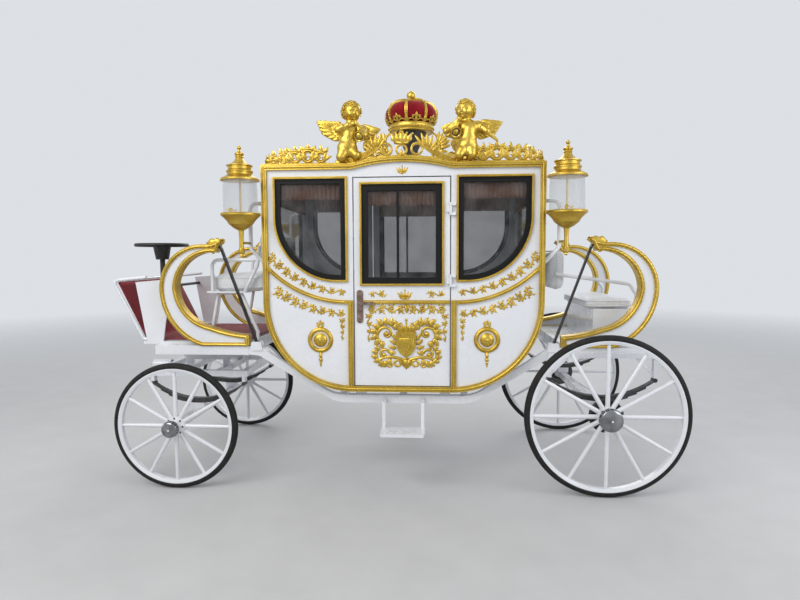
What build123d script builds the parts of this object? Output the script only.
"""Closed four-wheeled state carriage on a crane-neck frame, drawn by horses.

+Z up, the front looks along -X and the carriage's left side along -Y. The origin is the point
of the ground under the middle of the cabin. Lengths are in millimetres.
"""
from build123d import *
from math import asin, atan2, cos, degrees, pi, radians, sin, sqrt
import os

os.makedirs("parts", exist_ok=True)

# Clearances
running_gap = 0.05  # radial, spindle in hub and kingpin in its bush
seat_gap = 0.3  # between a soft or curved piece and what it rests on
face_gap = 0.5  # between the two plates of the turntable
door_gap = 8.0  # round each door
wheel_clearance = 30.0  # between a steered wheel's top and the platform over it

# Wheels and axles
rear_wheel_d = 1100.0
front_wheel_d = 890.0
track = 1520.0  # between the middle planes of a pair
tyre_r = 25.0
rim_width = 46.0
rim_depth = 36.0
spoke_count = 12
spoke_hub_r = 16.0
spoke_rim_r = 12.0
hub_r = 46.0
hub_length = 150.0
cap_length = 46.0
spindle_r = 22.0
axle_depth = 52.0

# Cabin
cabin_half_length = 964.0
cabin_half_width = 625.0
cabin_bottom = 686.0
cabin_top = 2246.0
cabin_corner_r = 620.0
arch_half = 343.0
arch_rise = 46.0
wall = 40.0
roof_edge = 26.0
roof_crown = 62.0
roof_rim = 40.0

# Openings in the cabin's sides, measured from its middle
door_half = 332.0
door_bottom = 716.0
door_top = 2162.0
door_window_half = 278.0
door_window_low = 1434.0
door_window_high = 2118.0
side_window_near = 390.0
side_window_far = cabin_half_length - 82.0
side_window_low = 1460.0
side_window_high = 2160.0
side_window_corner = 430.0
end_window_half = 390.0
end_window_low = 1500.0
end_window_high = 2110.0
pane = 6.0
seal_width = 14.0
seal_depth = 30.0

# Gold mouldings
border_out = 12.0
border_in = 26.0
moulding_depth = 20.0
bead = 14.0
belt_z = 1306.0
belt_width = 26.0
belt_flat_half = 380.0
belt_r = 780.0
pillar_width = 36.0

# Perch frame and platforms
cabin_to_platform = 148.0
rail_end_x = cabin_half_length + cabin_to_platform
rail_y = 560.0
rail_width = 50.0
rail_top = cabin_bottom - 49.0
rail_depth = 55.0
rail_flat_half = 440.0
platform_depth = 66.0
platform_low = front_wheel_d + wheel_clearance
platform_high = platform_low + platform_depth
platform_half_width = 588.0
front_platform_length = 688.0
rear_platform_length = 600.0
floor_thickness = 20.0
floor_z = platform_high + floor_thickness
rail_end_z = platform_high - 1.0
front_axle_x = -rail_end_x - 472.0
rear_axle_x = rail_end_x + 265.0

# C-shaped scrolls on the platforms
scroll_y = 560.0
scroll_thickness = 56.0
scroll_rim = 5.0  # gold edging round the rim
scroll_band = 24.0  # width of the gold edging on each face
scroll_band_depth = 9.0

# Springs
rear_r = rear_wheel_d / 2
front_r = front_wheel_d / 2
spring_width = 50.0
spring_half = 356.0
spring_rise = 118.0
leaf_count = 4
leaf_depth = 9.0
leaf_pack = leaf_count * leaf_depth
spring_eye_r = 15.0
rear_spring_y = 600.0
rear_spring_z = rear_r + axle_depth / 2 + leaf_pack + 43.0
front_spring_z = front_r + axle_depth / 2 + leaf_pack + 38.0

# Turntable of the fore-carriage
table_r = 250.0
table_hole_r = 185.0
table_plate = 18.0
table_split_z = platform_low - 60.0 - table_plate
kingpin_r = 20.0
fore_bar_y = 350.0
fore_bar_z = front_spring_z + spring_rise + 52.0
fore_bar = 44.0
fore_bar_reach = 356.0
pole_bore_r = 30.0
pole_wall = 9.0
pole_length = 150.0


# Wheels. Each is turned about its axle, with tapered round spokes between hub and rim.
wheel_table = (
    # name, axle x, diameter
    ("front", front_axle_x, front_wheel_d),
    ("rear", rear_axle_x, rear_wheel_d),
)
rim_lip = 12.0  # how far the rim's edges stand below the tyre's middle
hub_flange_r = 70.0
hub_flange = 40.0
hub_end_r = 38.0
bore_r = spindle_r + running_gap
cap_r = (hub_end_r**2 + cap_length**2) / (2 * cap_length)  # sphere over the hub's end

for wheel_name, axle_x, diameter in wheel_table:
    radius = diameter / 2
    hub_plane = Plane(origin=(axle_x, -track / 2, radius), x_dir=(1, 0, 0), z_dir=(0, -1, 0))
    profile_plane = Plane(origin=hub_plane.origin, x_dir=(0, -1, 0), z_dir=(1, 0, 0))
    axle_line = Axis(hub_plane.origin, (0, 1, 0))
    tyre_line = radius - tyre_r
    rim_lip_r = tyre_line - rim_lip
    rim_inner = tyre_line - rim_depth
    groove_half = sqrt((tyre_r + seat_gap) ** 2 - rim_lip**2)
    spoke_inner = hub_flange_r - 8
    spoke_length = rim_inner + 6 - spoke_inner
    with BuildPart() as wheel:
        with BuildSketch(profile_plane):
            with BuildLine():
                ThreePointArc(
                    (-groove_half, -rim_lip_r), (0, -tyre_line + tyre_r + seat_gap), (groove_half, -rim_lip_r)
                )
                Polyline(
                    (groove_half, -rim_lip_r),
                    (rim_width / 2 + 2, -rim_lip_r),
                    (rim_width / 2 + 2, -rim_lip_r + 6),
                    (rim_width / 2 - 6, -rim_inner),
                    (-rim_width / 2 + 6, -rim_inner),
                    (-rim_width / 2 - 2, -rim_lip_r + 6),
                    (-rim_width / 2 - 2, -rim_lip_r),
                    (-groove_half, -rim_lip_r),
                )
            make_face()
        revolve(axis=axle_line)
        with BuildSketch(profile_plane):
            with BuildLine():
                half = hub_length / 2
                Polyline(
                    (-half, bore_r),
                    (-half, hub_end_r),
                    (-half + 16, hub_r),
                    (-hub_flange / 2 - 6, hub_r),
                    (-hub_flange / 2, hub_flange_r),
                    (hub_flange / 2, hub_flange_r),
                    (hub_flange / 2 + 6, hub_r),
                    (half - 16, hub_r),
                    (half, hub_end_r),
                )
                CenterArc((half + cap_length - cap_r, 0), cap_r, 0, degrees(atan2(hub_end_r, cap_r - cap_length)))
                Polyline((half + cap_length, 0), (half, 0), (half, bore_r), (-half, bore_r))
            make_face()
        revolve(axis=axle_line)
        with Locations(hub_plane):
            with PolarLocations(spoke_inner + spoke_length / 2, spoke_count):
                Cone(spoke_hub_r, spoke_rim_r, spoke_length, rotation=(0, 90, 0))
    wheel.part.label = "wheel_" + wheel_name + "_left"
    export_step(wheel.part, "parts/wheel_" + wheel_name + "_left.step")

    with BuildPart() as wheel_right:
        mirror(wheel.part, about=Plane.XZ)
    wheel_right.part.label = "wheel_" + wheel_name + "_right"
    export_step(wheel_right.part, "parts/wheel_" + wheel_name + "_right.step")

    with BuildPart(hub_plane) as tyre:
        Torus(tyre_line, tyre_r)
    tyre.part.label = "tyre_" + wheel_name + "_left"
    export_step(tyre.part, "parts/tyre_" + wheel_name + "_left.step")

    with BuildPart() as tyre_right:
        mirror(tyre.part, about=Plane.XZ)
    tyre_right.part.label = "tyre_" + wheel_name + "_right"
    export_step(tyre_right.part, "parts/tyre_" + wheel_name + "_right.step")


def make_axle(axle_x, height, spring_y, spring_low):
    """Square axle beam with a round spindle at each end and a pad under each spring."""
    shoulder = track / 2 - hub_length / 2 - 1
    pad_low = height + axle_depth / 2
    with BuildPart() as axle:
        with Locations((axle_x, 0, height)):
            Box(axle_depth, 2 * shoulder, axle_depth)
            Cylinder(spindle_r, track + hub_length - 4, rotation=(90, 0, 0))
        for side in (-1, 1):
            with Locations((axle_x, side * spring_y, (pad_low + spring_low) / 2)):
                Box(90, spring_width, spring_low - pad_low)
    return axle.part


def make_leaf_springs(centre, half_span, rise):
    """A pair of half-elliptic springs: each leaf is shorter than the one above it."""
    x, y, z = centre
    sweep_r = (half_span**2 + rise**2) / (2 * rise)
    with BuildPart() as springs:
        for k in range(leaf_count):
            reach = half_span * (1 - 0.17 * k)
            low = sweep_r + leaf_depth * k
            with BuildSketch(Plane.XZ.offset(y + spring_width / 2)):
                with Locations((x, z + sweep_r)):
                    Circle(low + leaf_depth)
                    Circle(low, mode=Mode.SUBTRACT)
                with Locations((x, z)):
                    Rectangle(2 * reach, sweep_r, mode=Mode.INTERSECT)
            extrude(amount=-spring_width)
        for end in (-1, 1):
            with Locations((x + end * half_span, -y, z + rise - leaf_depth / 2)):
                Cylinder(spring_eye_r, spring_width, rotation=(90, 0, 0))
        mirror(about=Plane.XZ)
    return springs.part


# Axles and springs
with BuildPart() as rear_axle:
    add(make_axle(rear_axle_x, rear_r, rear_spring_y, rear_spring_z - leaf_pack))
rear_axle.part.label = "rear_axle"
export_step(rear_axle.part, "parts/rear_axle.step")

with BuildPart() as rear_springs:
    add(make_leaf_springs((rear_axle_x, rear_spring_y, rear_spring_z), spring_half, spring_rise))
rear_springs.part.label = "rear_springs"
export_step(rear_springs.part, "parts/rear_springs.step")

# Fore-carriage: axle, springs and the lower half of the turntable
with BuildPart() as front_axle:
    add(make_axle(front_axle_x, front_r, fore_bar_y, front_spring_z - leaf_pack))
front_axle.part.label = "front_axle"
export_step(front_axle.part, "parts/front_axle.step")

with BuildPart() as front_springs:
    add(make_leaf_springs((front_axle_x, fore_bar_y, front_spring_z), spring_half, spring_rise))
front_springs.part.label = "front_springs"
export_step(front_springs.part, "parts/front_springs.step")

with BuildPart() as fore_frame:
    bar_length = 2 * fore_bar_reach + 60
    eye_top = front_spring_z + spring_rise - leaf_depth / 2 + spring_eye_r + seat_gap
    for side in (-1, 1):
        with Locations((front_axle_x, side * fore_bar_y, fore_bar_z + fore_bar / 2)):
            Box(bar_length, fore_bar, fore_bar)
    for cross in (-fore_bar_reach, -150, 150, fore_bar_reach):
        with Locations((front_axle_x + cross, 0, fore_bar_z + fore_bar / 2)):
            Box(fore_bar, 2 * fore_bar_y, fore_bar)
    with BuildSketch(Plane.XY.offset(table_split_z - face_gap - table_plate)):
        with Locations((front_axle_x, 0)):
            Circle(table_r)
            Circle(table_hole_r, mode=Mode.SUBTRACT)
            Rectangle(90, 2 * table_r - 20)
            Circle(kingpin_r + 20)
            Circle(kingpin_r + running_gap, mode=Mode.SUBTRACT)
    extrude(amount=table_plate)
    post_low = fore_bar_z + fore_bar
    post_high = table_split_z - face_gap - table_plate
    for dx in (-150, 150):
        for dy in (-160, 160):
            with Locations((front_axle_x + dx, dy, (post_low + post_high) / 2)):
                Box(fore_bar, fore_bar, post_high - post_low)
    with BuildSketch(Plane.YZ.offset(front_axle_x - fore_bar_reach - fore_bar / 2)):
        with Locations((0, fore_bar_z + fore_bar / 2)):
            Circle(pole_bore_r + pole_wall)
    extrude(amount=-pole_length)
    with BuildSketch(Plane.YZ.offset(front_axle_x - fore_bar_reach - fore_bar / 2)):
        with Locations((0, fore_bar_z + fore_bar / 2)):
            Circle(pole_bore_r)
    extrude(amount=-pole_length, mode=Mode.SUBTRACT)
    for side in (-1, 1):
        for end in (-1, 1):
            hanger_x = front_axle_x + end * fore_bar_reach
            with Locations((hanger_x, side * fore_bar_y, (eye_top + fore_bar_z) / 2)):
                Box(24, spring_width, fore_bar_z - eye_top)
fore_frame.part.label = "fore_frame"
export_step(fore_frame.part, "parts/fore_frame.step")


# Perch frame: two crane-neck rails, cross members, cabin blocks, strap eyes and steps
eye_point = (rail_end_x - 64, platform_high - 4.1)  # where a strap meets the rail
eye_cheek = 8.0
strap_width = 48.0
with BuildPart() as perch_frame:
    for side in (-1, 1):
        with BuildSketch(Plane.XZ.offset(-side * rail_y + rail_width / 2)):
            with BuildLine():
                FilletPolyline(
                    (-rail_end_x, rail_end_z),
                    (-rail_end_x + 90, rail_end_z - 8),
                    (-rail_flat_half - 60, rail_top),
                    (rail_flat_half + 60, rail_top),
                    (rail_end_x - 90, rail_end_z - 8),
                    (rail_end_x, rail_end_z),
                    (rail_end_x, rail_end_z - 62),
                    (rail_end_x - 80, rail_end_z - 70),
                    (rail_flat_half + 40, rail_top - rail_depth),
                    (-rail_flat_half - 40, rail_top - rail_depth),
                    (-rail_end_x + 80, rail_end_z - 70),
                    (-rail_end_x, rail_end_z - 62),
                    close=True,
                    radius=[1, 60, 260, 260, 60, 1, 1, 60, 260, 260, 60, 1],
                )
            make_face()
        extrude(amount=-rail_width)
        for cheek_y in (rail_y - rail_width / 2 - eye_cheek, rail_y + rail_width / 2):
            for end in (-1, 1):
                with BuildSketch(Plane.XZ.offset(-side * (cheek_y + eye_cheek / 2) + eye_cheek / 2)):
                    with BuildLine():
                        FilletPolyline(
                            (end * (eye_point[0] + 46), eye_point[1] - 30),
                            (end * (eye_point[0] + 40), eye_point[1] + 34),
                            (end * (eye_point[0] - 30), eye_point[1] + 34),
                            (end * (eye_point[0] - 44), eye_point[1] - 30),
                            close=True,
                            radius=14,
                        )
                    make_face()
                extrude(amount=-eye_cheek)
    for cross in (-rail_flat_half, 0, rail_flat_half):
        with Locations((cross, 0, rail_top - rail_depth / 2)):
            Box(50, 2 * rail_y, 40)
    for cross in (-300, 300):
        for side in (-1, 1):
            with Locations((cross, side * (rail_y - 20), (rail_top + cabin_bottom) / 2)):
                Box(70, 60, cabin_bottom - rail_top)
    for side in (-1, 1):
        for leg in (-123, 145):
            with Locations((leg, side * 645, rail_top - rail_depth / 2)):
                Box(22, 150, 22)
            with Locations((leg, side * 710, (rail_top - rail_depth / 2 + 429) / 2)):
                Box(22, 22, rail_top - rail_depth / 2 - 429)
        with BuildSketch(Plane.XY.offset(418)):
            with Locations((11, side * 775)):
                RectangleRounded(300, 170, 20)
        extrude(amount=22)
perch_frame.part.label = "perch_frame"
export_step(perch_frame.part, "parts/perch_frame.step")


# Platforms that carry the scrolls and the seats
front_platform_back = -rail_end_x
front_platform_front = -rail_end_x - front_platform_length
rear_platform_front = rail_end_x
rear_platform_back = rail_end_x + rear_platform_length
floor_half_width = scroll_y - scroll_thickness / 2 - scroll_band_depth - seat_gap
with BuildPart() as front_platform:
    mid_x = (front_platform_front + front_platform_back) / 2
    span_x = front_platform_back - front_platform_front
    for side in (-1, 1):
        with Locations((mid_x, side * (platform_half_width - 30), (platform_low + platform_high) / 2)):
            Box(span_x, 60, platform_high - platform_low)
    for cross in (front_platform_front + 30, front_axle_x - 150, front_axle_x + 150, front_platform_back - 30):
        with Locations((cross, 0, (platform_low + platform_high) / 2)):
            Box(60, 2 * platform_half_width - 60, platform_high - platform_low)
    with Locations((mid_x - 60, 0, platform_high + floor_thickness / 2)):
        Box(span_x + 120, 2 * floor_half_width, floor_thickness)
    with BuildSketch(Plane.XY.offset(table_split_z)):
        with Locations((front_axle_x, 0)):
            Circle(table_r)
            Circle(table_hole_r, mode=Mode.SUBTRACT)
            Rectangle(90, 2 * table_r - 20)
    extrude(amount=table_plate)
    post_low = table_split_z + table_plate
    for dx in (-150, 150):
        for dy in (-160, 160):
            with Locations((front_axle_x + dx, dy, (post_low + platform_low) / 2)):
                Box(60, 60, platform_low - post_low)
    with BuildSketch(Plane.XY.offset(table_split_z)):
        with Locations((front_axle_x, 0)):
            Circle(kingpin_r)
    extrude(amount=-table_plate - face_gap - 20)
front_platform.part.label = "front_platform"
export_step(front_platform.part, "parts/front_platform.step")

hanger_y = rear_spring_y + 5
hanger_depth = 36.0
radius_rod_r = 11.0
with BuildPart() as rear_platform:
    mid_x = (rear_platform_front + rear_platform_back) / 2
    span_x = rear_platform_back - rear_platform_front
    for side in (-1, 1):
        with Locations((mid_x, side * (platform_half_width - 30), (platform_low + platform_high) / 2)):
            Box(span_x, 60, platform_high - platform_low)
    for cross in (rear_platform_front + 30, mid_x, rear_platform_back - 30):
        with Locations((cross, 0, (platform_low + platform_high) / 2)):
            Box(60, 2 * platform_half_width - 60, platform_high - platform_low)
    with Locations((mid_x, 0, platform_high + floor_thickness / 2)):
        Box(span_x, 2 * floor_half_width, floor_thickness)
    hanger_low = rear_spring_z + spring_rise - leaf_depth / 2 + spring_eye_r + seat_gap
    for side in (-1, 1):
        for end in (-1, 1):
            hanger_x = rear_axle_x + end * spring_half
            with Locations((hanger_x, side * hanger_y, (hanger_low + platform_low) / 2)):
                Box(26, hanger_depth, platform_low - hanger_low)
            with BuildSketch(Plane.XZ.offset(-side * hanger_y + 8)):
                with BuildLine():
                    Polyline(
                        (hanger_x, hanger_low + 4),
                        (hanger_x - end * 140, platform_low + 6),
                        (hanger_x - end * 104, platform_low + 6),
                        (hanger_x, hanger_low + 34),
                        close=True,
                    )
                make_face()
            extrude(amount=-16)
        with Locations((rear_axle_x, side * hanger_y, platform_low + 15)):
            Box(2 * spring_half + 26, hanger_depth, 30)
rear_platform.part.label = "rear_platform"
export_step(rear_platform.part, "parts/rear_platform.step")


# C-shaped scrolls, drawn for the front left one and mirrored for the others. The points are
# measured outwards from the rail's end and up from the platform.
def scroll_point(out, up):
    """Point of the front scroll in the side plane."""
    return (-rail_end_x - out, platform_high + up)


def scroll_line():
    """Closed outline of the front scroll as arcs and lines."""
    tip = scroll_point(176, 762)
    root = scroll_point(293, 723)
    outer = scroll_point(634, 414)
    foot = scroll_point(337, 0)
    end_low = scroll_point(0, 0)
    end_high = scroll_point(0, 74)
    inner_low = scroll_point(278, 134)
    inner = scroll_point(520, 414)
    inner_high = scroll_point(218, 674)
    under_tip = scroll_point(196, 731)
    ThreePointArc(tip, scroll_point(236, 730), root)
    ThreePointArc(root, scroll_point(542, 631), outer)
    ThreePointArc(outer, scroll_point(551, 156), foot)
    Polyline(foot, end_low, end_high)
    ThreePointArc(end_high, scroll_point(148, 96), inner_low)
    ThreePointArc(inner_low, scroll_point(463, 254), inner)
    ThreePointArc(inner, scroll_point(448, 589), inner_high)
    Polyline(inner_high, under_tip, tip)


with BuildPart() as scrolls:
    with BuildSketch(Plane.XZ.offset(scroll_y + scroll_thickness / 2)):
        with BuildLine():
            scroll_line()
        make_face()
    extrude(amount=-scroll_thickness)
    mirror(about=Plane.XZ)
    mirror(about=Plane.YZ)
scrolls.part.label = "scrolls"
export_step(scrolls.part, "parts/scrolls.step")

# Gold edging round each scroll's rim, lapping over both faces
with BuildPart() as scroll_mouldings:
    edging_half = scroll_thickness / 2 + scroll_band_depth
    with BuildSketch(Plane.XZ.offset(scroll_y + edging_half)):
        with BuildLine():
            scroll_line()
        make_face()
        offset(amount=scroll_rim, kind=Kind.ARC)
    extrude(amount=-2 * edging_half)
    with BuildSketch(Plane.XZ.offset(scroll_y + edging_half)):
        with BuildLine():
            scroll_line()
        make_face()
        offset(amount=-scroll_band, kind=Kind.ARC)
    extrude(amount=-2 * edging_half, mode=Mode.SUBTRACT)
    with BuildSketch(Plane.XZ.offset(scroll_y + scroll_thickness / 2)):
        with BuildLine():
            scroll_line()
        make_face()
    extrude(amount=-scroll_thickness, mode=Mode.SUBTRACT)
    split(bisect_by=Plane.XY.offset(platform_high + 0.01), keep=Keep.TOP)
    mirror(about=Plane.XZ)
    mirror(about=Plane.YZ)
scroll_mouldings.part.label = "scroll_mouldings"
export_step(scroll_mouldings.part, "parts/scroll_mouldings.step")

# Leather straps from the scroll tips down to the eyes at the ends of the rails
with BuildPart() as straps:
    top_point = Vector(-rail_end_x - 193.4, 0, platform_high + 713.0)
    low_point = Vector(-eye_point[0], 0, eye_point[1])
    run = low_point - top_point
    strap_plane = Plane(
        origin=(top_point.X, -scroll_y, top_point.Z),
        x_dir=(0, 1, 0),
        z_dir=(run.X, 0, run.Z),
    )
    with BuildSketch(strap_plane):
        Rectangle(strap_width, 10)
    extrude(amount=run.length)
    mirror(about=Plane.XZ)
    mirror(about=Plane.YZ)
straps.part.label = "straps"
export_step(straps.part, "parts/straps.step")


def cabin_line(grow):
    """Closed side outline of the cabin, moved outwards by grow, as lines and arcs."""
    half = cabin_half_length + grow
    low = cabin_bottom - grow
    top = cabin_top + grow
    corner = cabin_corner_r + grow
    Line((-half, top), (-half, low + corner))
    JernArc((-half, low + corner), (0, -1), corner, 90)
    Line((-half + corner, low), (half - corner, low))
    JernArc((half - corner, low), (1, 0), corner, 90)
    Line((half, low + corner), (half, top))
    Line((half, top), (arch_half, top))
    ThreePointArc((arch_half, top), (0, top + arch_rise), (-arch_half, top))
    Line((-arch_half, top), (-half, top))


def side_window(grow):
    """Outline of the front side window in the side plane, moved outwards by grow."""
    near = -side_window_near + grow
    far = -side_window_far - grow
    low = side_window_low - grow
    high = side_window_high + grow
    corner = side_window_corner + grow
    Line((near, high), (far, high))
    Line((far, high), (far, low + corner))
    JernArc((far, low + corner), (0, -1), corner, 90)
    Line((far + corner, low), (near, low))
    Line((near, low), (near, high))


def side_windows(grow):
    """Both fixed windows of a side as a sketch in the XZ plane."""
    with BuildSketch(Plane.XZ) as windows:
        with BuildLine():
            side_window(grow)
        make_face()
        mirror(about=Plane.YZ)
    return windows.sketch


side_plane = Plane.XZ.offset(cabin_half_width)

# Door hinges: a knuckle on the door between two lugs on the wall, on one pin
hinge_x = door_half + door_gap / 2
hinge_y = cabin_half_width + moulding_depth
hinge_heights = (1455.0, 1945.0)
knuckle_r = 9.0
knuckle_half = 22.0
hinge_pin_r = 4.0
lug = 20.0
lug_gap = 1.0


def hinge_block(low_x, high_x, low_z, high_z):
    """Knuckle round the hinge line with a block back to the left side's outer face."""
    with BuildPart() as block:
        with BuildSketch(Plane.XY.offset(low_z)):
            with Locations((hinge_x, -hinge_y)):
                Circle(knuckle_r)
            with Locations(((low_x + high_x) / 2, -(hinge_y + cabin_half_width) / 2)):
                Rectangle(high_x - low_x, hinge_y - cabin_half_width)
        extrude(amount=high_z - low_z)
    return block.part


wall_lugs = []
door_knuckles = []
for z in hinge_heights:
    for low_z in (z - knuckle_half - lug_gap - lug, z + knuckle_half + lug_gap):
        wall_lugs.append(hinge_block(hinge_x, hinge_x + 36, low_z, low_z + lug))
    door_knuckles.append(hinge_block(hinge_x - 26, hinge_x, z - knuckle_half, z + knuckle_half))

# Cabin: two side walls, curved front and rear walls, a floor and a crowned roof
with BuildPart() as cabin_side_left:
    with BuildSketch(side_plane):
        with BuildLine():
            cabin_line(0)
        make_face()
        with Locations((0, (door_bottom + door_top) / 2)):
            Rectangle(
                2 * (door_half + door_gap),
                door_top - door_bottom + 2 * door_gap,
                mode=Mode.SUBTRACT,
            )
        add(side_windows(0), mode=Mode.SUBTRACT)
    extrude(amount=-wall)
    add(wall_lugs)
    with Locations([(hinge_x, -hinge_y, z) for z in hinge_heights]):
        Cylinder(hinge_pin_r, 2 * (knuckle_half + lug_gap + lug))
cabin_side_left.part.label = "cabin_side_left"
export_step(cabin_side_left.part, "parts/cabin_side_left.step")

with BuildPart() as cabin_side_right:
    mirror(cabin_side_left.part, about=Plane.XZ)
cabin_side_right.part.label = "cabin_side_right"
export_step(cabin_side_right.part, "parts/cabin_side_right.step")

inner_half_width = cabin_half_width - wall
roof_seat = cabin_top - roof_edge


floor_half = cabin_half_length - cabin_corner_r


def make_end_wall(end):
    """Bent panel between the side walls, from the floor round the corner up to the roof."""
    with BuildPart() as panel:
        with BuildSketch(Plane.XZ.offset(inner_half_width)):
            with BuildLine():
                cabin_line(0)
            make_face()
            with BuildLine():
                cabin_line(-wall)
            make_face(mode=Mode.SUBTRACT)
            with Locations((end * (floor_half + cabin_half_length) / 2, (cabin_bottom + roof_seat) / 2)):
                Rectangle(cabin_corner_r, roof_seat - cabin_bottom, mode=Mode.INTERSECT)
        extrude(amount=-2 * inner_half_width)
        with BuildSketch(Plane.YZ.offset(end * cabin_half_length)):
            with Locations((0, (end_window_low + end_window_high) / 2)):
                RectangleRounded(2 * end_window_half, end_window_high - end_window_low, 60)
        extrude(amount=-end * wall, mode=Mode.SUBTRACT)
    return panel.part


for end_name, end in (("front", -1), ("rear", 1)):
    end_wall = make_end_wall(end)
    end_wall.label = "cabin_" + end_name + "_wall"
    export_step(end_wall, "parts/cabin_" + end_name + "_wall.step")

with BuildPart() as cabin_floor:
    with Locations((0, 0, cabin_bottom + wall / 2)):
        Box(2 * floor_half, 2 * inner_half_width, wall)
cabin_floor.part.label = "cabin_floor"
export_step(cabin_floor.part, "parts/cabin_floor.step")

with BuildPart() as roof:
    with BuildSketch(Plane.XZ.offset(inner_half_width)):
        with BuildLine():
            Line((-cabin_half_length, roof_seat), (cabin_half_length, roof_seat))
            crown_from = cabin_half_length - roof_rim
            Polyline(
                (cabin_half_length, roof_seat), (cabin_half_length, cabin_top), (crown_from, cabin_top)
            )
            ThreePointArc((crown_from, cabin_top), (0, cabin_top + roof_crown), (-crown_from, cabin_top))
            Polyline(
                (-crown_from, cabin_top), (-cabin_half_length, cabin_top), (-cabin_half_length, roof_seat)
            )
        make_face()
    extrude(amount=-2 * inner_half_width)
    with BuildSketch(Plane.YZ.offset(-cabin_half_length)):
        with BuildLine():
            Line((-inner_half_width, roof_seat), (inner_half_width, roof_seat))
            crown_from = inner_half_width - roof_rim
            Polyline((inner_half_width, roof_seat), (inner_half_width, cabin_top), (crown_from, cabin_top))
            ThreePointArc((crown_from, cabin_top), (0, cabin_top + roof_crown), (-crown_from, cabin_top))
            Polyline((-crown_from, cabin_top), (-inner_half_width, cabin_top), (-inner_half_width, roof_seat))
        make_face()
    extrude(amount=2 * cabin_half_length, mode=Mode.INTERSECT)
roof.part.label = "roof"
export_step(roof.part, "parts/roof.step")

# Gold mouldings on each side: border, window beads, belt and door pillars
with BuildPart() as side_moulding_left:
    with BuildSketch(side_plane):
        with BuildLine():
            cabin_line(border_out)
        make_face()
        with BuildLine():
            cabin_line(-border_in)
        make_face(mode=Mode.SUBTRACT)
    extrude(amount=moulding_depth)
    with BuildSketch(side_plane):
        with BuildLine():
            side_window(bead)
        make_face()
        with BuildLine():
            side_window(0)
        make_face(mode=Mode.SUBTRACT)
        mirror(about=Plane.YZ)
    extrude(amount=moulding_depth * 0.7)
    belt_centre = (-belt_flat_half, belt_z + belt_r)
    with BuildSketch(side_plane):
        with Locations(belt_centre):
            Circle(belt_r + belt_width / 2)
            Circle(belt_r - belt_width / 2, mode=Mode.SUBTRACT)
        with Locations((-(cabin_half_length + belt_flat_half) / 2, belt_z + 125)):
            Rectangle(cabin_half_length - belt_flat_half, 300, mode=Mode.INTERSECT)
        mirror(about=Plane.YZ)
    extrude(amount=moulding_depth * 0.8)
    pillar_near = door_half + door_gap + 2
    with BuildSketch(side_plane):
        for end in (-1, 1):
            with Locations((end * (pillar_near + pillar_width / 2), (belt_z + cabin_bottom) / 2)):
                Rectangle(pillar_width, belt_z - cabin_bottom + belt_width)
    extrude(amount=moulding_depth * 0.8)
side_moulding_left.part.label = "side_moulding_left"
export_step(side_moulding_left.part, "parts/side_moulding_left.step")

with BuildPart() as side_moulding_right:
    mirror(side_moulding_left.part, about=Plane.XZ)
side_moulding_right.part.label = "side_moulding_right"
export_step(side_moulding_right.part, "parts/side_moulding_right.step")

# Glass and black seals of the fixed windows
glass_plane = Plane.XZ.offset(cabin_half_width - 14)
with BuildPart() as window_seals:
    with BuildSketch(side_plane):
        with BuildLine():
            side_window(-0.2)
        make_face()
        with BuildLine():
            side_window(-seal_width)
        make_face(mode=Mode.SUBTRACT)
        mirror(about=Plane.YZ)
    extrude(amount=-seal_depth)
    mirror(about=Plane.XZ)
    for end in (-1, 1):
        with BuildSketch(Plane.YZ.offset(end * cabin_half_length)):
            with Locations((0, (end_window_low + end_window_high) / 2)):
                RectangleRounded(2 * end_window_half - 0.4, end_window_high - end_window_low - 0.4, 60)
                RectangleRounded(
                    2 * (end_window_half - seal_width),
                    end_window_high - end_window_low - 2 * seal_width,
                    60 - seal_width,
                    mode=Mode.SUBTRACT,
                )
        extrude(amount=-end * seal_depth)
window_seals.part.label = "window_seals"
export_step(window_seals.part, "parts/window_seals.step")

with BuildPart() as window_glass:
    with BuildSketch(glass_plane):
        add(side_windows(-seal_width - seat_gap))
    extrude(amount=-pane)
    mirror(about=Plane.XZ)
    for end in (-1, 1):
        with BuildSketch(Plane.YZ.offset(end * (cabin_half_length - 14))):
            with Locations((0, (end_window_low + end_window_high) / 2)):
                RectangleRounded(
                    2 * (end_window_half - seal_width - seat_gap),
                    end_window_high - end_window_low - 2 * (seal_width + seat_gap),
                    60 - seal_width,
                )
        extrude(amount=-end * pane)
window_glass.part.label = "window_glass"
export_step(window_glass.part, "parts/window_glass.step")

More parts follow.
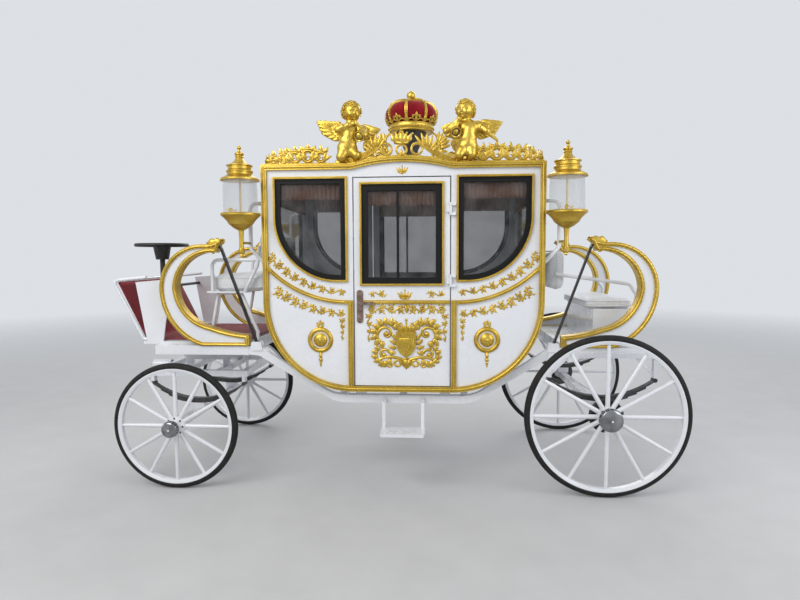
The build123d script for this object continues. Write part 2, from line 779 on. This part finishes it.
# Doors, hinged at their rear edges
handle_x = -294.0
handle_width = 44.0
handle_right = handle_x + handle_width / 2 + 2
door_plane = Plane.XZ.offset(cabin_half_width)
shield_x = 28.0
shield_z = 1016.0
for side_name, side in (("left", -1), ("right", 1)):
    with BuildPart() as door_panel:
        with BuildSketch(door_plane):
            with Locations((0, (door_bottom + door_top) / 2)):
                Rectangle(2 * door_half, door_top - door_bottom)
            with Locations((0, (door_window_low + door_window_high) / 2)):
                Rectangle(2 * door_window_half, door_window_high - door_window_low, mode=Mode.SUBTRACT)
        extrude(amount=-wall)
        add(door_knuckles)
        with Locations([(hinge_x, -hinge_y, z) for z in hinge_heights]):
            Cylinder(hinge_pin_r + running_gap, 3 * knuckle_half, mode=Mode.SUBTRACT)
        if side > 0:
            mirror(door_panel.part, about=Plane.XZ, mode=Mode.REPLACE)
    door_panel.part.label = "door_" + side_name
    export_step(door_panel.part, "parts/door_" + side_name + ".step")

    with BuildPart() as door_glass:
        with BuildSketch(glass_plane):
            with Locations((0, (door_window_low + door_window_high) / 2)):
                Rectangle(
                    2 * (door_window_half - seat_gap), door_window_high - door_window_low - 2 * seat_gap
                )
        extrude(amount=-pane)
        if side > 0:
            mirror(door_glass.part, about=Plane.XZ, mode=Mode.REPLACE)
    door_glass.part.label = "door_glass_" + side_name
    export_step(door_glass.part, "parts/door_glass_" + side_name + ".step")

    with BuildPart() as door_moulding:
        with BuildSketch(door_plane):
            with Locations((0, (door_window_low + door_window_high) / 2)):
                Rectangle(2 * (door_window_half + bead), door_window_high - door_window_low + 2 * bead)
                Rectangle(2 * door_window_half, door_window_high - door_window_low, mode=Mode.SUBTRACT)
            with Locations(((door_half + handle_right) / 2, belt_z)):
                Rectangle(door_half - handle_right - 2, belt_width)
            with BuildLine():
                Polyline((shield_x - 70, shield_z), (shield_x - 70, shield_z + 84), (shield_x + 70, shield_z + 84))
                Line((shield_x + 70, shield_z + 84), (shield_x + 70, shield_z))
                ThreePointArc((shield_x + 70, shield_z), (shield_x + 48, shield_z - 62), (shield_x, shield_z - 96))
                ThreePointArc((shield_x, shield_z - 96), (shield_x - 48, shield_z - 62), (shield_x - 70, shield_z))
            make_face()
        extrude(amount=moulding_depth * 0.7)
        if side > 0:
            mirror(door_moulding.part, about=Plane.XZ, mode=Mode.REPLACE)
    door_moulding.part.label = "door_moulding_" + side_name
    export_step(door_moulding.part, "parts/door_moulding_" + side_name + ".step")

    with BuildPart() as door_handle:
        with BuildSketch(door_plane):
            with Locations((handle_x, 1274)):
                RectangleRounded(handle_width, 232, 20)
        extrude(amount=6)
        with BuildSketch(door_plane.offset(6)):
            with Locations((handle_x, 1300)):
                Circle(11)
        extrude(amount=30)
        with BuildSketch(door_plane.offset(28)):
            with Locations((handle_x + 44, 1300)):
                RectangleRounded(110, 20, 9)
        extrude(amount=12)
        if side > 0:
            mirror(door_handle.part, about=Plane.XZ, mode=Mode.REPLACE)
    door_handle.part.label = "door_handle_" + side_name
    export_step(door_handle.part, "parts/door_handle_" + side_name + ".step")

# Winged figures that kneel on the roof's side edges and blow horns
figure_y = -cabin_half_width + 34
crest_thickness = 26.0
knee_height = 170.0  # what starts below it can meet the cresting
figure_base = wall + roof_rim - crest_thickness - 2 * seat_gap
figure_base_y = -cabin_half_width + crest_thickness + seat_gap + figure_base / 2
limb_table = (
    # figure, start x, y, z, end x, y, z, start radius, end radius. y is outwards from the figure's
    # middle and z is measured from the roof edge
    ("front", -345, 6, 362, -345, 2, 376, 63, 64),
    ("front", -347, 0, 314, -349, 0, 264, 30, 36),
    ("front", -349, 0, 232, -362, 0, 169, 62, 55),
    ("front", -362, 4, 169, -374, 0, 114, 56, 60),
    ("front", -400, 8, 244, -262, 8, 248, 34, 32),
    ("front", -384, 24, 106, -414, 48, 54, 44, 34),
    ("front", -414, 48, 54, -392, 20, 34, 33, 20),
    ("front", -360, 20, 106, -306, 44, 66, 42, 32),
    ("front", -306, 44, 66, -318, 22, 38, 31, 19),
    ("front", -420, 12, 242, -432, 62, 236, 27, 22),
    ("front", -432, 62, 236, -306, 66, 282, 22, 14),
    ("front", -256, 12, 244, -244, 58, 200, 26, 20),
    ("front", -244, 58, 200, -298, 74, 270, 20, 14),
    ("front", -314, 66, 306, -282, 78, 216, 7, 13),
    ("front", -282, 78, 216, -278, 80, 194, 13, 31),
    ("rear", 434, 6, 358, 434, 2, 372, 63, 64),
    ("rear", 438, 0, 310, 444, 0, 266, 30, 36),
    ("rear", 456, 0, 238, 452, 0, 178, 64, 52),
    ("rear", 452, 4, 178, 444, 0, 118, 53, 58),
    ("rear", 392, 8, 262, 524, 8, 260, 33, 35),
    ("rear", 426, 22, 106, 394, 48, 62, 43, 34),
    ("rear", 394, 48, 62, 392, 22, 34, 33, 20),
    ("rear", 456, 20, 106, 478, 46, 60, 42, 33),
    ("rear", 478, 46, 60, 462, 22, 34, 32, 19),
    ("rear", 388, 12, 260, 304, 50, 216, 27, 21),
    ("rear", 304, 50, 216, 384, 66, 288, 20, 14),
    ("rear", 528, 10, 258, 574, 34, 216, 27, 21),
    ("rear", 574, 34, 216, 636, 44, 162, 20, 12),
    ("rear", 398, 66, 306, 368, 72, 232, 7, 13),
    ("rear", 368, 72, 232, 362, 74, 210, 13, 29),
)
wing_table = (
    # figure, outline as pairs of x and height over the roof edge
    ("front", ((-392, 194), (-380, 276), (-468, 310), (-596, 320), (-560, 224), (-480, 178))),
    ("front", ((-300, 204), (-296, 270), (-230, 282), (-140, 254), (-196, 192), (-262, 174))),
    ("rear", ((490, 194), (500, 278), (590, 302), (694, 288), (640, 202), (560, 172))),
    ("rear", ((420, 204), (412, 274), (352, 294), (268, 264), (300, 194), (360, 174))),
)
figure_bases = (
    # figure, low x, high x
    ("front", -462, -346),
    ("rear", 372, 520),
)


def figure_point(x, y, z):
    """Point of a figure on the left side."""
    return Vector(x, figure_y - y, cabin_top + z)


def make_limb(start, end, start_r, end_r):
    """Tapered round limb with a ball at each end, turned about the line between the balls."""
    run = end - start
    lean = asin((start_r - end_r) / run.length)
    low_turn = (lean + pi / 2) / 2
    high_turn = (lean + pi / 2) / 2
    with BuildPart() as limb:
        with BuildSketch(Plane.XZ):
            with BuildLine():
                low = (start_r * cos(lean), start_r * sin(lean))
                high = (end_r * cos(lean), run.length + end_r * sin(lean))
                ThreePointArc((0, -start_r), (start_r * sin(low_turn), -start_r * cos(low_turn)), low)
                Line(low, high)
                ThreePointArc(
                    high,
                    (end_r * cos(high_turn), run.length + end_r * sin(high_turn)),
                    (0, run.length + end_r),
                )
                Line((0, run.length + end_r), (0, -start_r))
            make_face()
        revolve(axis=Axis.Z)
    return limb.part.moved(Plane(origin=start, z_dir=run).location)


def make_limbs(figure, highest, grow):
    """Limbs of a figure that start below a height over the roof edge, grown for a clearance."""
    limbs = []
    for owner, x, y, z, end_x, end_y, end_z, start_r, end_r in limb_table:
        if owner == figure and z < highest:
            start = figure_point(x, y, z)
            end = figure_point(end_x, end_y, end_z)
            limbs.append(make_limb(start, end, start_r + grow, end_r + grow))
    return limbs


# Cresting on the roof edges: pierced rings with leaves between them and a rising leaf band
crest_base = 22.0
ring_table = (
    # x from the middle, outer radius, bore, leaves on it
    (888, 28, 12, 1),
    (818, 38, 18, 2),
    (738, 43, 20, 3),
    (646, 50, 24, 3),
    (556, 43, 20, 3),
)
middle_table = (
    # x from the middle, height over the roof edge, outer radius, bore
    (0, 103, 42, 28),
    (104, 108, 44, 30),
)
leaf_table = (
    # x, height of the root, x, height of the tip, half-width
    (150, 120, 92, 198, 12),
    (162, 128, 134, 214, 13),
    (176, 124, 176, 212, 13),
    (190, 116, 214, 196, 12),
    (200, 100, 246, 170, 12),
    (208, 88, 262, 136, 11),
)


def leaf(x, z, tip_x, tip_z, half):
    """Pointed leaf from its root to its tip, in the side plane."""
    run = sqrt((tip_x - x) ** 2 + (tip_z - z) ** 2)
    along = ((tip_x - x) / run, (tip_z - z) / run)
    side = (-along[1], along[0])
    with BuildSketch(Plane.XZ) as blade:
        with BuildLine():
            Polyline(
                (x - along[0] * 8 - side[0] * half * 0.6, z - along[1] * 8 - side[1] * half * 0.6),
                (x + along[0] * run * 0.45 - side[0] * half, z + along[1] * run * 0.45 - side[1] * half),
                (tip_x, tip_z),
                (x + along[0] * run * 0.45 + side[0] * half, z + along[1] * run * 0.45 + side[1] * half),
                (x - along[0] * 8 + side[0] * half * 0.6, z - along[1] * 8 + side[1] * half * 0.6),
                close=True,
            )
        make_face()
    return blade.sketch


with BuildPart() as cresting_sides:
    with BuildSketch(side_plane) as crest:
        with BuildLine():
            Polyline(
                (-arch_half, cabin_top + crest_base),
                (-cabin_half_length, cabin_top + crest_base),
                (-cabin_half_length, cabin_top),
                (-arch_half, cabin_top),
            )
            ThreePointArc((-arch_half, cabin_top), (0, cabin_top + arch_rise), (arch_half, cabin_top))
            Polyline(
                (arch_half, cabin_top),
                (cabin_half_length, cabin_top),
                (cabin_half_length, cabin_top + crest_base),
                (arch_half, cabin_top + crest_base),
            )
            ThreePointArc(
                (arch_half, cabin_top + crest_base),
                (0, cabin_top + arch_rise + crest_base),
                (-arch_half, cabin_top + crest_base),
            )
        make_face()
        for x, ring_r, bore, leaves in ring_table:
            ring_z = cabin_top + crest_base - 4 + ring_r
            with Locations((x, ring_z)):
                Circle(ring_r)
            for k in range(leaves):
                turn = radians(90 + 38 * (k - (leaves - 1) / 2))
                root_x, root_z = x + ring_r * cos(turn), ring_z + ring_r * sin(turn)
                add(leaf(root_x, root_z, root_x + 40 * cos(turn), root_z + 40 * sin(turn), 12))
        with BuildLine():
            ThreePointArc((352, cabin_top + 8), (262, cabin_top + 46), (176, cabin_top + 96))
            ThreePointArc((176, cabin_top + 96), (150, cabin_top + 128), (146, cabin_top + 168))
            ThreePointArc((146, cabin_top + 168), (178, cabin_top + 152), (206, cabin_top + 120))
            ThreePointArc((206, cabin_top + 120), (290, cabin_top + 66), (372, cabin_top + 36))
            Line((372, cabin_top + 36), (352, cabin_top + 8))
        make_face()
        for x, z, tip_x, tip_z, half in leaf_table:
            add(leaf(x, cabin_top + z, tip_x, cabin_top + tip_z, half))
        for x, z, ring_r, bore in middle_table:
            with Locations((x, cabin_top + z)):
                Circle(ring_r)
        mirror(about=Plane.YZ)
        add(leaf(0, cabin_top + 140, 0, cabin_top + 250, 30))
        for x, ring_r, bore, leaves in ring_table:
            with Locations((x, cabin_top + crest_base - 4 + ring_r), (-x, cabin_top + crest_base - 4 + ring_r)):
                Circle(bore, mode=Mode.SUBTRACT)
        for x, z, ring_r, bore in middle_table:
            with Locations((x, cabin_top + z), (-x, cabin_top + z)):
                Circle(bore, mode=Mode.SUBTRACT)
    extrude(amount=-crest_thickness)
    for figure in ("front", "rear"):
        for limb in make_limbs(figure, knee_height, seat_gap):
            add(limb, mode=Mode.SUBTRACT)
    mirror(about=Plane.XZ)
cresting_sides.part.label = "cresting_sides"
export_step(cresting_sides.part, "parts/cresting_sides.step")

end_ring_table = (
    # y from the middle, outer radius, bore
    (500, 34, 15),
    (424, 44, 20),
    (334, 50, 24),
    (240, 48, 22),
    (150, 46, 20),
    (0, 108, 62),
)
with BuildPart() as cresting_ends:
    for end in (-1, 1):
        with BuildSketch(Plane.YZ.offset(end * cabin_half_length)):
            with Locations((0, cabin_top + crest_base / 2)):
                Rectangle(1120, crest_base)
            for y, ring_r, bore in end_ring_table:
                ring_z = cabin_top + crest_base - 4 + ring_r
                with Locations((y, ring_z), (-y, ring_z)):
                    Circle(ring_r)
            for y, ring_r, bore in end_ring_table:
                ring_z = cabin_top + crest_base - 4 + ring_r
                with Locations((y, ring_z), (-y, ring_z)):
                    Circle(bore, mode=Mode.SUBTRACT)
        extrude(amount=-end * crest_thickness)
cresting_ends.part.label = "cresting_ends"
export_step(cresting_ends.part, "parts/cresting_ends.step")

# Crown on the roof: a dark tapered foot, a gold band with four arches, and a soft cap in it
crown_x = 40.0
crown_foot = 278.0
crown_band = 58.0
crown_band_r = 164.0
crown_cap_height = 184.0
crown_cap_r = 192.0
crown_arch = 12.0  # how far the arches stand off the cap
crown_arch_width = 22.0
crown_neck_r = 120.0
roof_peak = cabin_top + roof_crown
crown_low = roof_peak + crown_foot
crown_cap_low = crown_low + crown_band
crown_top_z = crown_cap_low + crown_cap_height
crown_line = Axis((crown_x, 0, 0), (0, 0, 1))
crown_plane = Plane(origin=(crown_x, 0, 0), x_dir=(1, 0, 0), z_dir=(0, -1, 0))


def cap_profile(grow):
    """Half outline of the cap moved outwards by grow, from its middle on the band to its top."""
    low = (crown_band_r - 8 + grow, crown_cap_low)
    shoulder = (crown_cap_r - 40 + grow, crown_top_z - 30 + grow)
    Line((0, crown_cap_low), low)
    ThreePointArc(low, (crown_cap_r + grow, crown_cap_low + crown_cap_height * 0.52), shoulder)
    Polyline(shoulder, (40, crown_top_z + grow), (0, crown_top_z + grow), (0, crown_cap_low))


crown_leaf_table = (
    # root's distance from the axis and height over the roof, tip's distance and height, half-width
    (210, 214, 214, 286, 13),
    (218, 204, 250, 282, 14),
    (224, 192, 284, 262, 14),
    (228, 178, 302, 228, 13),
    (230, 160, 304, 188, 12),
    (222, 132, 284, 140, 11),
)


def crown_leg():
    """Closed outline of the curled leg of the crown's stand, in the plane of its middle."""
    ThreePointArc((60, roof_peak), (168, roof_peak + 62), (206, roof_peak + 172))
    ThreePointArc((206, roof_peak + 172), (196, roof_peak + 240), (146, crown_low + 6))
    Line((146, crown_low + 6), (166, crown_low + 6))
    ThreePointArc((166, crown_low + 6), (226, roof_peak + 232), (234, roof_peak + 168))
    ThreePointArc((234, roof_peak + 168), (196, roof_peak + 52), (118, roof_peak))
    Line((118, roof_peak), (60, roof_peak))


arch_turn = 36.5  # of the first arch from the carriage's length
with BuildPart() as crown_metal:
    for k in range(4):
        turn = radians(arch_turn + 45 * k)
        arch_plane = Plane(
            origin=(crown_x, 0, 0), x_dir=(cos(turn), sin(turn), 0), z_dir=(sin(turn), -cos(turn), 0)
        )
        with BuildSketch(arch_plane):
            with BuildLine():
                cap_profile(crown_arch)
            make_face()
            mirror(about=Plane.YZ)
        extrude(amount=crown_arch_width / 2, both=True)
    with BuildSketch(crown_plane):
        with BuildLine():
            cap_profile(seat_gap)
        make_face()
    revolve(axis=crown_line, mode=Mode.SUBTRACT)
    with BuildSketch(crown_plane):
        with BuildLine():
            Polyline((crown_neck_r, crown_cap_low), (crown_neck_r, crown_low), (crown_band_r - 4, crown_low))
            ThreePointArc(
                (crown_band_r - 4, crown_low),
                (crown_band_r + 10, crown_low + crown_band / 2),
                (crown_band_r + 6, crown_cap_low),
            )
            Line((crown_band_r + 6, crown_cap_low), (crown_neck_r, crown_cap_low))
        make_face()
    revolve(axis=crown_line)
    with BuildSketch(crown_plane):
        with BuildLine():
            ball = crown_top_z + 46
            Polyline(
                (0, crown_top_z + seat_gap),
                (36, crown_top_z + seat_gap),
                (30, crown_top_z + 14),
                (14, crown_top_z + 16),
                (14, ball),
                (12, crown_top_z + 76),
                (13, crown_top_z + 82),
                (5, crown_top_z + 86),
                (0, crown_top_z + 92),
                (0, crown_top_z + seat_gap),
            )
        make_face()
    revolve(axis=crown_line)
    with Locations((crown_x, 0, ball)):
        Sphere(36)
    with BuildSketch(crown_plane):
        with BuildLine():
            crown_leg()
        make_face()
        for x, z, tip_x, tip_z, half in crown_leaf_table:
            add(leaf(x, roof_peak + z, tip_x, roof_peak + tip_z, half))
        mirror(about=Plane.YZ)
    extrude(amount=14, both=True)
    with Locations((crown_x, 0, roof_peak + 7)):
        Cylinder(130, 14)
crown_metal.part.label = "crown_metal"
export_step(crown_metal.part, "parts/crown_metal.step")

with BuildPart() as crown_cap:
    with BuildSketch(crown_plane):
        with BuildLine():
            cap_profile(0)
        make_face()
    revolve(axis=crown_line)
crown_cap.part.label = "crown_cap"
export_step(crown_cap.part, "parts/crown_cap.step")

with BuildPart() as crown_stand:
    with BuildSketch(crown_plane):
        with BuildLine():
            Polyline(
                (0, roof_peak + 14),
                (52, roof_peak + 14),
                (40, roof_peak + 60),
                (56, roof_peak + 150),
                (crown_neck_r - seat_gap, crown_low - 6),
                (crown_neck_r - seat_gap, crown_cap_low - seat_gap),
                (0, crown_cap_low - seat_gap),
                close=True,
            )
        make_face()
    revolve(axis=crown_line)
crown_stand.part.label = "crown_stand"
export_step(crown_stand.part, "parts/crown_stand.step")

def make_figure(figure, low_x, high_x):
    """One figure with its limbs, horn, wings and base as one solid."""
    body = None
    for limb in make_limbs(figure, cabin_top, 0):
        body = body + limb if body else limb
    for owner, outline in wing_table:
        if owner == figure:
            with BuildPart() as wing:
                with BuildSketch(Plane.XZ.offset(-figure_y - 16)):
                    with BuildLine():
                        Polyline(*[(x, cabin_top + z) for x, z in outline], close=True)
                    make_face()
                extrude(amount=-16)
            body = body + wing.part
    with BuildPart() as base:
        with Locations(((low_x + high_x) / 2, figure_base_y, cabin_top + 22)):
            Box(high_x - low_x, figure_base, 44)
    return body + base.part


with BuildPart() as cherubs:
    for figure, low_x, high_x in figure_bases:
        add(make_figure(figure, low_x, high_x))
    mirror(about=Plane.XZ)
cherubs.part.label = "cherubs"
export_step(cherubs.part, "parts/cherubs.step")

# Lamps on bent-tube brackets at the cabin's four corners
lamp_x = cabin_half_length + 133.0
lamp_y = 716.0
bracket_y = 560.0
bracket_x = cabin_half_length + 119.0
bracket_tube_r = 14.0
lamp_low = 1623.0
arm_z = lamp_low + 97.0
glass_low = 298.0  # over the lamp's lowest point
glass_high = 517.0
glass_r = 117.0
lamp_cap_table = (
    # radius, height over the lamp's lowest point
    (127, 517),
    (127, 530),
    (120, 534),
    (90, 550),
    (84, 556),
    (84, 572),
    (90, 574),
    (90, 582),
    (78, 591),
    (78, 611),
    (88, 614),
    (88, 620),
)
lamp_neck_table = (
    (25, 668),
    (29, 676),
    (25, 684),
    (32, 694),
    (32, 700),
    (12, 712),
    (8, 726),
)
lamp_bowl_table = (
    (134, 283),
    (112, 264),
    (95, 246),
    (80, 222),
    (45, 195),
    (22, 183),
    (18, 176),
    (15, 130),
    (15, 60),
    (24, 46),
    (22, 30),
    (12, 18),
    (15, 10),
    (0, 0),
)
lamp_plane = Plane(origin=(-lamp_x, -lamp_y, lamp_low), x_dir=(1, 0, 0), z_dir=(0, -1, 0))
lamp_line = Axis((-lamp_x, -lamp_y, 0), (0, 0, 1))
with BuildPart() as lamps:
    with BuildSketch(lamp_plane):
        with BuildLine():
            Polyline((0, glass_high), *lamp_cap_table)
            ThreePointArc(lamp_cap_table[-1], (48, 638), lamp_neck_table[0])
            Polyline(*lamp_neck_table, (0, 726), (0, glass_high))
        make_face()
    revolve(axis=lamp_line)
    with Locations((-lamp_x, -lamp_y, lamp_low + 738)):
        Sphere(14)
    with BuildSketch(lamp_plane):
        with BuildLine():
            Polyline((0, 738), (6, 745), (0, 756), (0, 738))
        make_face()
    revolve(axis=lamp_line)
    with BuildSketch(lamp_plane):
        with BuildLine():
            Polyline((0, glass_low), (124, glass_low), (134, glass_low - 6), *lamp_bowl_table, (0, glass_low))
        make_face()
    revolve(axis=lamp_line)
    with Locations((-lamp_x, -lamp_y, lamp_low + (glass_low + glass_high) / 2)):
        Cylinder(7, glass_high - glass_low + 4)
    arm_start = Vector(-lamp_x, -lamp_y, arm_z)
    arm_run = Vector(-bracket_x, -bracket_y, arm_z) - arm_start
    with BuildSketch(Plane(origin=arm_start, z_dir=arm_run)):
        Circle(9)
    extrude(amount=arm_run.length - bracket_tube_r - seat_gap)
    mirror(about=Plane.XZ)
    mirror(about=Plane.YZ)
lamps.part.label = "lamps"
export_step(lamps.part, "parts/lamps.step")

with BuildPart() as lamp_glasses:
    with BuildSketch(Plane.XY.offset(lamp_low + glass_low)):
        with Locations((-lamp_x, -lamp_y)):
            Circle(glass_r)
            Circle(glass_r - 5, mode=Mode.SUBTRACT)
    extrude(amount=glass_high - glass_low)
    mirror(about=Plane.XZ)
    mirror(about=Plane.YZ)
lamp_glasses.part.label = "lamp_glasses"
export_step(lamp_glasses.part, "parts/lamp_glasses.step")

with BuildPart() as lamp_brackets:
    with BuildLine() as bracket_path:
        FilletPolyline(
            (-cabin_half_length, -bracket_y, arm_z + 280),
            (-bracket_x, -bracket_y, arm_z + 280),
            (-bracket_x, -bracket_y, arm_z - 40),
            (-cabin_half_length - 24, -bracket_y, arm_z - 140),
            (-cabin_half_length, -bracket_y, arm_z - 140),
            radius=[50, 50, 12],
        )
    with BuildSketch(Plane(origin=(-cabin_half_length, -bracket_y, arm_z + 280), z_dir=(-1, 0, 0))):
        Circle(bracket_tube_r)
    sweep()
    mirror(about=Plane.XZ)
    mirror(about=Plane.YZ)
lamp_brackets.part.label = "lamp_brackets"
export_step(lamp_brackets.part, "parts/lamp_brackets.step")

# Driver's footwell
dash_tube_r = 12.0
dash_y = 500.0
dash_low = floor_z + dash_tube_r + seat_gap
dash_front = front_platform_front - 350.0
dash_high = floor_z + 447.0
with BuildPart() as dash_frame:
    for side in (-1, 1):
        with BuildLine() as dash_path:
            FilletPolyline(
                (front_platform_front, side * dash_y, dash_low),
                (dash_front + 222, side * dash_y, dash_low),
                (dash_front, side * dash_y, dash_high),
                (dash_front + 255, side * dash_y, dash_high + 25),
                radius=30,
            )
        with BuildSketch(Plane(origin=(front_platform_front, side * dash_y, dash_low), z_dir=(-1, 0, 0))):
            Circle(dash_tube_r)
        sweep(path=dash_path.line)
    with Locations((dash_front + 4, 0, dash_high - 1)):
        Cylinder(dash_tube_r, 2 * dash_y, rotation=(90, 0, 0))
dash_frame.part.label = "dash_frame"
export_step(dash_frame.part, "parts/dash_frame.step")

carpet = 12.0
lining_half_width = dash_y - dash_tube_r - seat_gap
with BuildPart() as footwell_lining:
    with BuildSketch(Plane.XZ.offset(lining_half_width)):
        with BuildLine():
            Polyline(
                (front_platform_back - 23, floor_z),
                (dash_front + 232, floor_z),
                (dash_front + 20, dash_high - 15),
                (dash_front + 32, dash_high - 10),
                (dash_front + 242, floor_z + carpet),
                (front_platform_back - 23, floor_z + carpet),
                close=True,
            )
        make_face()
    extrude(amount=-2 * lining_half_width)
footwell_lining.part.label = "footwell_lining"
export_step(footwell_lining.part, "parts/footwell_lining.step")

console_y = dash_y + dash_tube_r + seat_gap
console_depth = 10.0
with BuildPart() as consoles:
    with BuildSketch(Plane.XZ.offset(console_y + console_depth)):
        with BuildLine():
            Polyline(
                (dash_front + 257, floor_z),
                (dash_front + 183, dash_high - 11),
                (dash_front + 369, dash_high + 4),
                (dash_front + 424, dash_high - 175),
                (dash_front + 379, floor_z),
                close=True,
            )
        make_face()
    extrude(amount=-console_depth)
    mirror(about=Plane.XZ)
consoles.part.label = "consoles"
export_step(consoles.part, "parts/consoles.step")

hand_wheel_x = dash_front + 137.0
hand_wheel_z = dash_high + 270.0
hand_wheel_r = 196.0
with BuildPart() as hand_wheel:
    with Locations((hand_wheel_x, 0, hand_wheel_z)):
        Torus(hand_wheel_r, 14)
        Cylinder(60, 22)
        Box(2 * hand_wheel_r, 30, 14)
        Box(30, 2 * hand_wheel_r, 14)
    with Locations((hand_wheel_x, 0, hand_wheel_z - 63)):
        Cone(50, 70, 110)
    with Locations((hand_wheel_x, 0, hand_wheel_z - 228)):
        Cylinder(20, 260)
    with Locations((hand_wheel_x + 40, 0, hand_wheel_z - 333)):
        Box(90, 30, 24)
    with Locations((hand_wheel_x + 83, 0, hand_wheel_z - 333)):
        Cylinder(12, 2 * console_y, rotation=(90, 0, 0))
hand_wheel.part.label = "hand_wheel"
export_step(hand_wheel.part, "parts/hand_wheel.step")

# Seats outside the cabin: tube legs and arms carry the driver's seat, a box the rear one
seat_tube_r = 13.0
seat_plate_top = floor_z + 366.0
driver_seat_x = front_platform_back - 118.0
driver_half = 450.0
driver_depth = 410.0
driver_cushion = 120.0
rear_seat_half = 400.0
rear_seat_x = rear_platform_front + 373.0
rear_seat_low = floor_z + 234.0
rear_cushion = 70.0
driver_arm_y = driver_half + seat_tube_r + seat_gap
rear_arm_y = rear_seat_half + seat_tube_r + seat_gap
with BuildPart() as seat_frames:
    for side in (-1, 1):
        with BuildLine() as leg_path:
            FilletPolyline(
                (driver_seat_x - 209, side * 420, floor_z + carpet + seat_gap),
                (driver_seat_x - 209, side * 420, floor_z + carpet + 60),
                (driver_seat_x - 155, side * 420, seat_plate_top - 14),
                (driver_seat_x + 19, side * 420, seat_plate_top - 14),
                (driver_seat_x + 139, side * 420, floor_z + 60),
                (driver_seat_x + 139, side * 420, floor_z + seat_gap),
                radius=[20, 40, 40, 20],
            )
        with BuildSketch(Plane(origin=leg_path.line @ 0, z_dir=leg_path.line % 0)):
            Circle(seat_tube_r)
        sweep(path=leg_path.line)
        with BuildLine() as arm_path:
            FilletPolyline(
                (driver_seat_x - 180, side * driver_arm_y, seat_plate_top - 6),
                (driver_seat_x - 180, side * driver_arm_y, seat_plate_top + 230),
                (driver_seat_x + 210, side * driver_arm_y, seat_plate_top + 230),
                radius=50,
            )
        with BuildSketch(Plane(origin=arm_path.line @ 0, z_dir=arm_path.line % 0)):
            Circle(seat_tube_r)
        sweep(path=arm_path.line)
        with BuildLine() as back_path:
            FilletPolyline(
                (driver_seat_x + 60, side * driver_arm_y, seat_plate_top - 6),
                (driver_seat_x + 160, side * driver_arm_y, seat_plate_top + 190),
                (driver_seat_x + 178, side * driver_arm_y, seat_plate_top + 330),
                radius=60,
            )
        with BuildSketch(Plane(origin=back_path.line @ 0, z_dir=back_path.line % 0)):
            Circle(seat_tube_r)
        sweep(path=back_path.line)
        with BuildLine() as rear_path:
            FilletPolyline(
                (rear_seat_x + 161, side * rear_arm_y, rear_seat_low - 60),
                (rear_seat_x + 179, side * rear_arm_y, rear_seat_low + 100),
                (rear_seat_x + 128, side * rear_arm_y, rear_seat_low + 179),
                (rear_platform_front - 21, side * rear_arm_y, rear_seat_low + 251),
                radius=40,
            )
        with BuildSketch(Plane(origin=rear_path.line @ 0, z_dir=rear_path.line % 0)):
            Circle(seat_tube_r)
        sweep(path=rear_path.line)
    with Locations((driver_seat_x - 70, 0, seat_plate_top - 6)):
        Box(300, 2 * (driver_arm_y + seat_tube_r), 12)
seat_frames.part.label = "seat_frames"
export_step(seat_frames.part, "parts/seat_frames.step")

with BuildPart() as seat_cushions:
    with Locations((driver_seat_x, 0, seat_plate_top + seat_gap + driver_cushion / 2)):
        Box(driver_depth, 2 * driver_half, driver_cushion)
    with Locations((rear_seat_x, 0, rear_seat_low + rear_cushion / 2)):
        Box(380, 2 * rear_seat_half, rear_cushion)
    fillet(seat_cushions.edges(), 25)
seat_cushions.part.label = "seat_cushions"
export_step(seat_cushions.part, "parts/seat_cushions.step")

with BuildPart() as seat_backrests:
    with Locations((driver_seat_x + 195, 0, seat_plate_top + 308)):
        Box(60, 2 * driver_half, 230)
    with Locations((rear_platform_front - 7, 0, rear_seat_low + 280)):
        Box(110, 2 * rear_seat_half, 290)
    fillet(seat_backrests.edges(), 24)
seat_backrests.part.label = "seat_backrests"
export_step(seat_backrests.part, "parts/seat_backrests.step")

with BuildPart() as rear_seat_box:
    with Locations((rear_seat_x + 30, 0, (floor_z + rear_seat_low - seat_gap) / 2)):
        Box(300, 2 * rear_seat_half, rear_seat_low - seat_gap - floor_z)
rear_seat_box.part.label = "rear_seat_box"
export_step(rear_seat_box.part, "parts/rear_seat_box.step")

# Benches in the cabin
bench_depth = 300.0
bench_back_depth = 74.0
bench_seat_z = cabin_bottom + 444.0
bench_back = cabin_half_length - wall - seat_gap
bench_front = bench_back - bench_back_depth - 50.0 - bench_depth
bench_corner_r = cabin_corner_r - wall - seat_gap
bench_corner_z = cabin_bottom + cabin_corner_r
bench_low = bench_corner_z - sqrt(bench_corner_r**2 - (bench_front - floor_half) ** 2)
bench_way = bench_corner_r / sqrt(2)
with BuildPart() as cabin_benches:
    with BuildSketch(Plane.XZ.offset(540)):
        with BuildLine():
            Polyline(
                (bench_front, bench_low),
                (bench_front, bench_seat_z),
                (bench_front + bench_depth, bench_seat_z),
                (bench_back - bench_back_depth, bench_seat_z + 430),
                (bench_back, bench_seat_z + 430),
                (bench_back, bench_corner_z),
            )
            ThreePointArc(
                (bench_back, bench_corner_z),
                (floor_half + bench_way, bench_corner_z - bench_way),
                (bench_front, bench_low),
            )
        make_face()
        mirror(about=Plane.YZ)
    extrude(amount=-1080)
cabin_benches.part.label = "cabin_benches"
export_step(cabin_benches.part, "parts/cabin_benches.step")
